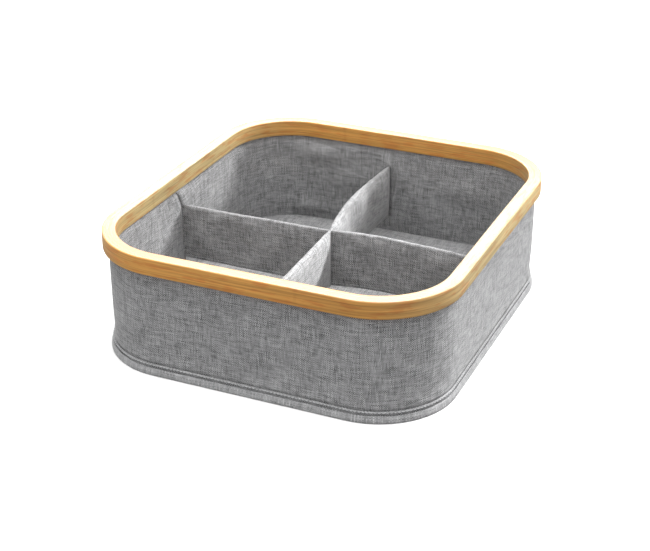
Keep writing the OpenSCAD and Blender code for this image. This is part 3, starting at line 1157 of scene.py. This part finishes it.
@dataclass
class Lining(WallCloth):
    """Inner cloth in two halves, which meet where the long divider's ends are caught."""

    face_inset: float = 9.7
    tuck_inset: float = 8.2
    foot: float = 7.6
    # Half the slot between the halves, and what is left of it where they meet
    slot: float = 1.1
    slot_shut: float = 0.3
    step: float = 2.6
    divider_top: float = 72.0
    # Where on the walk the back divider's end is caught
    caught: float = 8.0
    # How far the cloth stands off where it lies even, and where an end of a divider holds it
    even: float = 0.5
    held: float = 0.8
    # How far the front and the back half's edge stand proud above the divider
    front_proud: float = 0.3
    back_proud: float = 1.2
    slack: Ripple = Ripple(0.4, 95.0, 90.0, 31)
    fine: Ripple = Ripple(0.16, 24.0, 40.0, 32)
    # Bulges over the board, as x on the back or y on the left, height, half widths and rise
    back_bulges: tuple[tuple[float, ...], ...] = (
        (-74.0, 74.0, 20.0, 9.0, 4.0), (-46.0, 52.0, 20.0, 10.0, 2.4),
        (-8.0, 74.0, 5.5, 8.0, 1.8), (-106.0, 50.0, 20.0, 16.0, 1.4),
        (-88.0, 18.0, 18.0, 9.0, 2.6), (70.0, 58.0, 34.0, 12.0, 2.4),
        (24.0, 40.0, 16.0, 14.0, 1.1),
    )
    left_bulges: tuple[tuple[float, ...], ...] = (
        (-34.0, 46.0, 24.0, 16.0, 1.4), (44.0, 66.0, 22.0, 13.0, 1.6),
        (84.0, 40.0, 20.0, 18.0, 1.3),
    )

    def profile(self) -> Array:
        """The cloth's face from the groove down to the floor, as rows of inset and height."""
        wall = [(self.face_inset, z) for z in np.linspace(self.tuck_low, self.foot, 34)]
        return np.array(self.neck(self.tuck_inset, self.face_inset) + wall)

    def swell(self, way: Array, height: Array) -> Array:
        """How far the cloth stands off its board.

        Args:
            way: Places along the walk, within one lap.
            height: Heights above the table.

        Returns:
            Millimetres inwards, never below zero.
        """
        swell = self.even + self.slack.at(way, height) + self.fine.at(way, height)
        bulges = [Bulge(PLAN.on_back(x), *rest) for x, *rest in self.back_bulges]
        bulges += [Bulge(PLAN.on_left(y), *rest) for y, *rest in self.left_bulges]
        for bulge in bulges:
            swell = swell + bulge.at(way, height)
        # The back divider's end is caught in the wall, so the cloth puffs up round it and is
        # pulled flat right at it.
        from_end = way - PLAN.lap * np.round((way - self.caught) / PLAN.lap)
        below = smooth(self.divider_top + 2, self.divider_top - 3, height)
        swell = swell + self.held * bell(self.caught, 10.0, from_end) * below
        swell = np.maximum(swell, 0.0) * (1 - bell(self.caught, 2.6, from_end) * below)
        free = smooth(self.rim_low - 1, self.rim_low - 10, height)
        return swell * (free * smooth(self.foot, self.foot + 9, height))

    def seam_shift(self, height: Array) -> Array:
        """How far the left seam leans to the front.

        Args:
            height: Heights above the table.

        Returns:
            Millimetres of way.
        """
        share = (height - self.divider_top) / (self.rim_low - 2.5 - self.divider_top)
        foot = smooth(self.divider_top - 3, self.divider_top, height)
        return 2.4 * foot + 7.5 * np.clip(share, 0, 1)

    def build_half(self, side: Side, cloth: Material) -> None:
        """Builds one half of the lining.

        Args:
            side: The front or the back half.
            cloth: The lining's material.
        """
        front = side is Side.FRONT
        # The cloth is finer near its two edges, which turn in against the board, and at the
        # back divider's end.
        near = np.array([0.25, 0.5, 0.9, 1.4])
        if front:
            start, end = PLAN.on_left(-self.slot), PLAN.on_right(-self.slot)
            fine = []
        else:
            start, end = PLAN.on_right(self.slot), PLAN.on_left(self.slot) + PLAN.lap
            fine = self.caught + np.arange(-6.0, 6.5, 0.75) + PLAN.lap
        way = np.r_[PLAN.steps(start, end, self.step), start + near, end - near, fine]
        way = np.unique(way)[:, None]
        profile = self.profile()
        inset, height = profile.T
        # Above the divider the two halves meet, and the seam on the left leans to the front.
        closed = smooth(self.divider_top - 1, self.divider_top + 2, height)
        led = way
        for edge, on_left, inwards in ((start, front, -1), (end, not front, 1)):
            off = np.abs(way - edge)
            if on_left:
                led = led + self.seam_shift(height) * smooth(45.0, 0.0, off)
            shut = inwards * (self.slot - self.slot_shut) * closed
            led = led + shut * smooth(14.0, 0.0, off)
        off = np.minimum(way - start, end - way)
        # The divider's caught end holds the cloth: it lies even there and dips just beside it.
        held = smooth(22.0, 3.0, off)
        swell = self.swell(np.mod(led, PLAN.lap), height) * (1 - held) + self.held * held
        swell = swell * smooth(0.6, 4.0, off) * smooth(self.foot, self.foot + 9, height)
        # The back half's edge stands a little proud of the front one's, with a shaded fold.
        proud = self.front_proud if front else self.back_proud
        swell = swell + proud * closed * smooth(16.0, 1.0, off)
        swell = swell * smooth(self.rim_low, self.rim_low - 5, height)
        roll = smooth(1.3, 0.0, off) ** 2 * closed
        swell = swell * (1 - roll)
        behind = np.maximum(swell - self.thick * roll, 0) - self.thick
        name = f"lining_{side.name.lower()}"
        piece = build_sheet(
            f"{name}_cloth", PLAN.place(led, inset + swell, height),
            PLAN.place(led, inset + behind, height),
            PLAN.chart(way, self.face_inset, -walked(profile)),
        )
        dress(piece, cloth, "lining_fabric", name)

    def build(self, cloth: Material) -> None:
        """Builds both halves."""
        for side in Side:
            self.build_half(side, cloth)


@dataclass
class FloorCloth:
    """Cloth on the floor of the compartments, slightly blistered over its board."""

    inset: float = 8.8
    low: float = 6.7
    thick: float = 0.8
    even: float = 0.35
    step: float = 4.5
    rings: int = 44
    blister: Ripple = Ripple(0.5, 120.0, 120.0, 41)

    def build(self, cloth: Material) -> None:
        """Builds the floor.

        Args:
            cloth: The lining's material.
        """
        edge = PLAN.place(PLAN.ring(0.0, self.step), self.inset, 0.0)[..., :2]
        share = np.linspace(0.0, 1.0, self.rings)[None, :, None]
        flat = edge * share
        # It lies flat at its edge, where the wall holds it.
        rise = self.even + self.blister.at(flat[..., 0], flat[..., 1])
        rise = np.maximum(rise, 0.0) * smooth(1.0, 0.9, share[..., 0])
        top = np.concatenate([flat, (self.low + self.thick + rise)[..., None]], -1)
        back = np.concatenate([flat, np.full_like(rise, self.low)[..., None]], -1)
        chart = np.concatenate([flat, flat[:1]], 0)
        piece = build_sheet("floor_cloth", top, back, chart, ring=True)
        dress(piece, cloth, "lining_fabric", "floor_lining")


@dataclass
class Foot:
    """Binding tape round the foot, and the sewn welt above it."""

    binding_top: float = 6.3
    crown: float = 0.5
    tape: float = 0.8
    welt_low: float = 8.1
    welt_high: float = 9.7
    welt_proud: float = 1.0
    stitch: Stitch = Stitch(2.2, 0.7, 3.0)
    wall_inset: float = 5.0
    step: float = 3.0
    seam_x: float = 20.0
    pucker: Ripple = Ripple(0.12, 12.0, 20.0, 51)

    def binding_lines(self) -> tuple[Array, Array]:
        """Outer and inner lines of the folded tape, from its upper edge round to its inner one.

        Returns:
            Two rows of inset and height with the same number of points.
        """
        t = self.tape
        # The tape leans in towards its upper edge, is fullest half way and turns in at the edge.
        height = np.linspace(self.binding_top, 1.9, 9)
        share = height / self.binding_top
        inset = 2.0 + 1.4 * share - self.crown * np.sin(math.pi * share**0.8)
        outer = np.c_[inset, height]
        outer[0, 0] += 0.25
        inner = np.c_[inset + t, np.minimum(height, self.binding_top - 0.02)]
        under = [(1.97, 1.3), (2.2, 0.7), (2.6, 0.22), (3.1, 0.0), (5.1, 0.0), (5.4, 0.15),
                 (5.52, 0.45), (5.65, 1.2), (6.05, 3.4)]
        above = [(2.8, 1.5), (2.95, 1.1), (3.2, t), (3.6, t), (4.4, t), (4.55, t),
                 (4.65, 0.9), (4.85, 1.3), (5.25, 3.4)]
        return np.r_[outer, under], np.r_[inner, above]

    def build(self, binding: Material, thread: Material) -> None:
        """Builds the binding, the welt and their stitches.

        Args:
            binding: The binding tape's material.
            thread: The sewing thread's material.
        """
        way = PLAN.ring(PLAN.on_back(self.seam_x), self.step)
        outer, inner = self.binding_lines()
        pucker = self.pucker.at(way, outer[:, 1], PLAN.lap) * smooth(0.8, 3.0, outer[:, 1])
        piece = build_sheet(
            "foot_binding_tape", PLAN.place(way, outer[:, 0] + pucker, outer[:, 1]),
            PLAN.place(way, inner[:, 0] + pucker, inner[:, 1]),
            PLAN.chart(PLAN.closed(way), 2.5, -walked(outer)), ring=True,
        )
        dress(piece, binding, "binding_fabric", "bottom_binding")
        self.build_welt(way, binding, thread)

    def build_welt(self, way: Array, binding: Material, thread: Material) -> None:
        """Builds the half-round welt and the stitches along its crown.

        Args:
            way: Ways once round the basket.
            binding: The binding tape's material.
            thread: The sewing thread's material.
        """
        middle = (self.welt_low + self.welt_high) / 2
        half = (self.welt_high - self.welt_low) / 2
        turn = np.linspace(math.pi / 2, -math.pi / 2, 9)
        flat = self.wall_inset - 0.1
        height = middle + half * np.sin(turn)
        piece = build_sheet(
            "foot_welt", PLAN.place(way, flat - self.welt_proud * np.cos(turn), height),
            PLAN.place(way, flat, height),
            PLAN.chart(PLAN.closed(way), flat, -half * 1.1 * (math.pi / 2 - turn)), ring=True,
        )
        dress(piece, binding, "binding_fabric", "base_welt")
        count = int(PLAN.lap / self.stitch.pitch)
        spots = way[0, 0] + np.arange(count) * PLAN.lap / count
        out = PLAN.outward(spots)
        self.stitch.sew(
            "foot_welt_stitches", PLAN.place(spots, flat - self.welt_proud, middle),
            np.cross([0.0, 0.0, 1.0], out), out, thread, "binding_fabric",
        )


@dataclass(frozen=True)
class SleeveSide:
    """How one side of a divider's sleeve stands off its board.

    Fields: flare is how far it spreads just below the fold, belly how far it hangs out half way
    down, sag its slow unevenness and pucker the short one at the fold, all in millimetres.
    """

    flare: float
    belly: float
    sag: Ripple
    pucker: Ripple

    def off(self, along: Array, drop: Array, depth: float) -> Array:
        """Distance that the side stands off its board.

        Args:
            along: Places along the sleeve.
            drop: How far below the fold.
            depth: The sleeve's height.

        Returns:
            Millimetres, never below zero.
        """
        spread = self.flare * (1 - np.exp(-drop / 4.0)) * np.exp(-drop / 30.0)
        hang = self.belly * np.sin(math.pi * np.clip(drop / depth, 0, 1) ** 0.8)
        slack = (0.3 + self.sag.at(along, drop)) * smooth(0.0, 8.0, drop)
        puckers = self.pucker.at(along, drop) * smooth(0.0, 2.5, drop) * np.exp(-drop / 9.0)
        return np.maximum(spread + hang + slack + puckers, 0.0)


@dataclass
class Sleeve:
    """A divider's cloth sleeve: one sheet folded over the top, its edges turned in below.

    It runs along a heading from start to reach. shift, bow and lean give its sideways line as in
    the part's source: shift at the wall, bow between, and where the bow's crest lies.
    """

    name: str
    node: str
    heading: float
    start: float
    reach: float
    left: SleeveSide
    right: SleeveSide
    shift: float = 0.0
    bow: float = 0.0
    lean: float = 0.0
    top_at_start: float = 73.0
    top_at_wall: float = 73.0
    # The cloth's fold can't lie lower than this on the board's top edge.
    top_on_board: float = 72.5
    low: float = 22.0
    both_ways: bool = False
    half: float = 1.6
    half_pressed: float = 1.0
    thick: float = 0.8
    pinch: float = 13.0
    tab: float = 0.8
    step: float = 1.7
    # Points up each side of the section and over the fold
    up_points: int = 27
    fold_points: int = 9
    # The fold's top edge rises and falls by this much, over about six times this run.
    wave_rise: float = 0.2
    wave_run: float = 13.0
    # The turned-in edges lie this close to the sleeve's middle, sewn this far above their foot.
    hem_half: float = 0.12
    hem: float = 3.2
    stitch: Stitch = Stitch(2.3, 0.45, 3.1)

    def sideways(self, along: Array) -> Array:
        """Sideways place of the sleeve's middle at a distance along it."""
        t = np.clip(along / self.reach, 0.0, 1.0)
        return self.shift * t + self.bow * np.sin(math.pi * t * (1 + self.lean * (1 - t)))

    def top(self, along: Array) -> Array:
        """Height of the folded top edge.

        Args:
            along: Places along the sleeve.

        Returns:
            Heights above the table.
        """
        t = np.abs(along) / self.reach
        top = self.top_at_start + (self.top_at_wall - self.top_at_start) * t
        wave = self.wave_rise * (1 + np.sin(along / self.wave_run + self.heading))
        return np.maximum(top, self.top_on_board) + wave * np.sin(math.pi * t)

    def open_share(self, along: Array) -> Array:
        """Share by which the sleeve is open.

        Args:
            along: Places along the sleeve.

        Returns:
            Shares from 0 where it is caught to 1 between.
        """
        from_middle = np.abs(along) if self.both_ways else along - self.start
        from_wall = self.reach - np.abs(along)
        return smooth(0.0, self.pinch, from_wall) * smooth(0.0, self.pinch, from_middle)

    def half_at(self, along: Array) -> Array:
        """Half the sleeve's thickness over its board at a distance along it."""
        return self.half_pressed + (self.half - self.half_pressed) * self.open_share(along)

    def stand(self, side: SleeveSide, along: Array, rise: Array) -> Array:
        """Distance of a side's face from the sleeve's middle.

        Args:
            side: The side.
            along: Places along the sleeve.
            rise: Heights above the table.

        Returns:
            Millimetres from the middle line.
        """
        top = self.top(along)
        held = smooth(self.low, self.low + 9, rise) * (0.1 + 0.9 * self.open_share(along))
        held = held * smooth(0.0, 3.0, self.reach - np.abs(along))
        return self.half_at(along) + held * side.off(along, top - rise, top - self.low)

    def build(self, cloth: Material, thread: Material) -> None:
        """Builds the sleeve and its hem.

        Args:
            cloth: The lining's material.
            thread: The sewing thread's material.
        """
        far = self.reach + self.tab
        near = -far if self.both_ways else self.start
        along = np.linspace(near, far, int((far - near) / self.step) + 1)[:, None]
        half = self.half_at(along)
        crown = self.top(along) - half
        low = self.low + 0 * along
        # One column per point of the section: up the left side, over the top, down the right.
        # The points lie closer together towards the fold.
        up_share = 1 - (1 - np.linspace(0, 1, self.up_points)[None, :]) ** 1.5
        arc = np.linspace(math.pi, 0, self.fold_points)[None, 1:-1]
        hem = self.hem_half + 0 * along
        rise = low + half / 2 + (crown - low - half / 2) * up_share
        left = -self.stand(self.left, along, rise)
        right = self.stand(self.right, along, rise)[:, ::-1]
        over = np.where(arc > math.pi / 2, -left[:, -1:], right[:, :1])
        side = np.concatenate([-hem, left, over * np.cos(arc), right, hem], 1)
        height = np.concatenate([low, rise, crown + half * np.sin(arc), rise[:, ::-1], low], 1)
        # The hollow inside is even, and holds the board.
        hollow = np.maximum(half - self.thick, 0.2)
        wall = np.broadcast_to(hollow, rise.shape)
        inner_side = np.concatenate([-hem, -wall, hollow * np.cos(arc), wall, hem], 1)
        inner_rise = low + 2 * self.thick + (crown - low - 2 * self.thick) * up_share
        inner_fold = crown + (half - self.thick) * np.sin(arc)
        inner_low = low + self.thick
        inner_height = np.concatenate(
            [inner_low, inner_rise, inner_fold, inner_rise[:, ::-1], inner_low], 1
        )
        line = self.sideways(along)
        steps = [np.diff(part, axis=1, prepend=part[:, :1]) for part in (side, height)]
        chart = np.stack(np.broadcast_arrays(along, np.cumsum(np.hypot(*steps), 1)), -1)
        piece = build_sheet(
            self.name, self.turned(along, line + side, height),
            self.turned(along, line + inner_side, inner_height), chart, sharp=60.0,
        )
        dress(piece, cloth, "lining_fabric", self.node)
        self.sew_hem(near, far, thread)

    def sew_hem(self, near: float, far: float, thread: Material) -> None:
        """Sews the turned-in lower edges together, with a row of stitches on each side.

        Args:
            near: Where along the sleeve it starts.
            far: Where it ends.
            thread: The sewing thread's material.
        """
        end_gap = 4.0
        count = int((far - near - 2 * end_gap) / self.stitch.pitch)
        along = near + end_gap + np.arange(count) * self.stitch.pitch
        rise = np.full_like(along, self.low + self.hem)
        heading, aside = self.turned(np.array([1.0, 0.0]), np.array([0.0, 1.0]), 0.0)
        centres, up = [], []
        for sign, side in ((-1, self.left), (1, self.right)):
            stand = sign * self.stand(side, along, rise)
            centres.append(self.turned(along, self.sideways(along) + stand, rise))
            up.append(np.tile(sign * aside, (count, 1)))
        self.stitch.sew(
            self.name.replace("_sleeve", "_hem_stitches"), np.concatenate(centres),
            np.tile(heading, (2 * count, 1)), np.concatenate(up), thread, "lining_fabric",
        )

    def turned(self, along: Array, sideways: Array, height: Array) -> Array:
        """Turns places of the sleeve into points of the basket.

        Args:
            along: Places along the sleeve.
            sideways: Places beside its heading, to the left.
            height: Heights above the table.

        Returns:
            Points in millimetres, with x, y and z last.
        """
        c, s = math.cos(math.radians(self.heading)), math.sin(math.radians(self.heading))
        along, sideways, height = np.broadcast_arrays(along, sideways, height)
        return np.stack([c * along - s * sideways, s * along + c * sideways, height], -1)


@dataclass
class Dividers:
    """The sewn-in cross: one long sleeve and two short ones."""

    sleeves: tuple[Sleeve, ...] = (
        Sleeve("long_divider_sleeve", "long_divider_cover", 0.0, 0.0, 140.3,
               SleeveSide(0.9, 0.4, Ripple(0.6, 55.0, 50.0, 61), Ripple(0.4, 11.0, 200.0, 62)),
               SleeveSide(1.3, 1.4, Ripple(0.6, 50.0, 45.0, 65), Ripple(0.35, 12.0, 200.0, 66)),
               0.0, 6.5, 0.6, 73.6, 71.4, both_ways=True),
        Sleeve("front_divider_sleeve", "front_divider_cover", -90.0, 1.1, 154.3,
               SleeveSide(0.9, 0.4, Ripple(0.5, 60.0, 60.0, 67), Ripple(0.2, 16.0, 200.0, 68)),
               SleeveSide(2.6, 1.0, Ripple(0.4, 70.0, 60.0, 63), Ripple(0.2, 18.0, 200.0, 69)),
               2.5, 0.0, 0.0, 74.0, 69.5),
        Sleeve("back_divider_sleeve", "back_divider_cover", 90.0, 1.1, 154.3,
               SleeveSide(3.2, 1.8, Ripple(0.45, 60.0, 60.0, 64), Ripple(0.25, 16.0, 200.0, 70)),
               SleeveSide(0.9, 0.4, Ripple(0.5, 60.0, 60.0, 71), Ripple(0.2, 16.0, 200.0, 72)),
               8.0, 6.5, 0.15, 73.6, 72.0),
    )

    def build(self, cloth: Material, thread: Material) -> None:
        """Builds the three sleeves."""
        for sleeve in self.sleeves:
            sleeve.build(cloth, thread)


@dataclass
class HiddenLayers:
    """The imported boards, tape and underside cloth, which keep their own solids."""

    boards: tuple[str, ...] = (
        "wall_board", "base_board", "long_board_left", "long_board_right",
        "front_divider_board", "back_divider_board",
    )

    def dress_nodes(self, nodes: dict, tape: Material, cloth: Material) -> None:
        """Gives the kept CAD nodes their materials.

        Args:
            nodes: The frame's nodes by name.
            tape: The tape's material.
            cloth: The flat cloth's material.
        """
        board = Greyboard().make()
        finishes = {**dict.fromkeys(self.boards, board), "top_tape": tape, "base_cover": cloth}
        for name, material in finishes.items():
            for place in nodes[name].material_slots:
                place.material = material
            LOG.info("%s: %s", name, material.name)


def aim(turn: float, rise: float) -> Vector:
    """Unit direction at a turn from +X and a rise, both in degrees."""
    turn, rise = math.radians(turn), math.radians(rise)
    level = math.cos(rise)
    return Vector((math.cos(turn) * level, math.sin(turn) * level, math.sin(rise)))


@dataclass(frozen=True)
class Softbox:
    """A large soft lamp far off.

    Fields: power is its strength on a surface that faces it, breadth, turn from +X and rise are
    in degrees, and gloss_only is for a lamp that shows in lacquer and leaves cloth as it is.
    """

    name: str
    power: float
    breadth: float
    turn: float
    rise: float
    gloss_only: bool = False

    def hang(self) -> None:
        """Adds the lamp to the scene."""
        lamp = bpy.data.lights.new(self.name, "SUN")
        lamp.energy = self.power * math.pi
        lamp.angle = math.radians(self.breadth)
        body = put(self.name, lamp, aim(self.turn, self.rise))
        body.visible_diffuse = not self.gloss_only


@dataclass
class Studio:
    """White floor, soft light and the camera at the photo's angle.

    The camera's place and shifts are in units of the basket's width, from the middle of the
    rim's top.
    """

    floor_half: float = 40.0
    room_high: float = 1.08
    room_low: float = 0.4
    # The light from behind shines along the rim's top into the camera and whitens its lacquer.
    lamps: tuple[Softbox, ...] = (
        Softbox("key_softbox", 1.25, 16.0, 56.0, 31.0),
        Softbox("high_softbox", 0.82, 40.0, -30.0, 84.0),
        Softbox("back_softbox", 1.1, 26.0, 114.0, 39.0, gloss_only=True),
    )
    spot_power: float = 1.6
    spot_far: float = 2.2
    spot_reach: float = 0.075
    spot_size: float = 0.04
    spot_aim: tuple[float, float, float] = (0.0, -0.05, 0.05)
    focal_pixels: float = 1475.7
    picture_width: int = 650
    film_width: float = 36.0
    azimuth: float = 23.769
    elevation: float = 26.513
    distance: float = 4.070
    shift_right: float = -0.015
    shift_up: float = -0.217
    unit: float = 0.3
    rim_top: float = 0.104

    def build(self) -> None:
        """Builds the floor, the lights and the camera."""
        self.build_floor()
        self.build_room()
        for lamp in self.lamps:
            lamp.hang()
        self.build_spot()
        self.build_camera()

    def build_floor(self) -> None:
        """Lays the studio paper on the table's height."""
        bm = bmesh.new()
        bmesh.ops.create_grid(bm, x_segments=24, y_segments=24, size=self.floor_half)
        floor = finish_mesh("studio_paper_floor", bm)
        floor.data.materials.append(StudioPaper().make())
        # The paper lights nothing from below, as if the basket stood on a black flag.
        floor.visible_diffuse = False
        floor.visible_glossy = False
        floor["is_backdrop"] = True

    def build_room(self) -> None:
        """Lights the white room, which is darker below the floor's level."""
        world = bpy.data.worlds.new("white_room")
        bpy.context.scene.world = world
        bpy.context.scene.view_settings.view_transform = "Standard"
        world.use_nodes = True
        tree = world.node_tree
        place = add_node(tree, "TexCoord", output="Generated")
        strength = add_node(
            tree, "MapRange",
            {"Value": add_node(tree, "SeparateXYZ", {"Vector": place}, "Z"), "From Min": -0.2,
             "From Max": -0.02, "To Min": self.room_low, "To Max": self.room_high},
            interpolation_type="SMOOTHSTEP",
        )
        feed(tree.nodes["Background"], {"Color": (1.0, 1.0, 1.0, 1.0), "Strength": strength})

    def build_spot(self) -> None:
        """Hangs a small soft spot on the key light's side, aimed where the dividers cross."""
        lamp = bpy.data.lights.new("divider_spot", "SPOT")
        lamp.energy = self.spot_power * math.pi * 4 * math.pi * self.spot_far**2
        lamp.spot_size = 2 * math.atan(self.spot_reach / self.spot_far)
        lamp.spot_blend = 1.0
        lamp.shadow_soft_size = self.spot_size
        away = aim(self.lamps[0].turn, self.lamps[0].rise)
        put("divider_spot", lamp, away).location = away * self.spot_far + Vector(self.spot_aim)

    def build_camera(self) -> None:
        """Puts the camera where the photo was taken from."""
        # The azimuth is counted from the front, a quarter turn before +X.
        back = aim(self.azimuth - 90.0, self.elevation)
        right = aim(self.azimuth, 0.0)
        up = back.cross(right)
        place = right * self.shift_right + up * self.shift_up + back * self.distance
        camera = put("photo_camera", bpy.data.cameras.new("photo_camera"), back)
        camera.location = place * self.unit + Vector((0.0, 0.0, self.rim_top))
        camera.data.sensor_width = self.film_width
        camera.data.lens = self.film_width * self.focal_pixels / self.picture_width
        camera.data.clip_start, camera.data.clip_end = 0.05, 60.0
        bpy.context.scene.camera = camera


def corners(box: tuple[Vector, Vector]) -> list[list[float]]:
    """Turns a box's two corners into plain lists."""
    return [list(corner) for corner in box]


def main() -> None:
    """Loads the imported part, builds every piece around it and lights it."""
    logging.basicConfig(level=logging.INFO, format="%(name)s: %(message)s")
    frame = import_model()
    cad_box = corners(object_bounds())
    outer_cloth = LinenWeave(name="outer_linen_look_weave").make()
    lining_cloth = LinenWeave(name="lining_linen_look_weave").make()
    flat_cloth = LinenWeave(name="underside_linen_look_weave", chart=Chart.FLAT).make()
    # The binding's and the tape's gap colours are painted shade between their threads.
    binding = LinenWeave(
        name="binding_linen_look_weave", light="#c8c8c9", dark="#555556", gap="#505051",
        warp_pitch=1.3, weft_pitch=0.6, check=0.1,
    ).make()
    tape = LinenWeave(
        name="groove_tape_woven", light="#efefec", dark="#cfcfca", gap="#aaaaa5", chart=Chart.FLAT
    ).make()
    thread = SewingThread().make()
    Studio().build()
    BambooRim().build()
    OuterCover().build(outer_cloth, thread)
    Lining().build(lining_cloth)
    FloorCloth().build(lining_cloth)
    Foot().build(binding, thread)
    Dividers().build(lining_cloth, thread)
    HiddenLayers().dress_nodes(frame["nodes"], tape, flat_cloth)
    {"cad_box": cad_box, "visual_box": corners(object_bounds())}


if __name__ == "__main__":
    main()
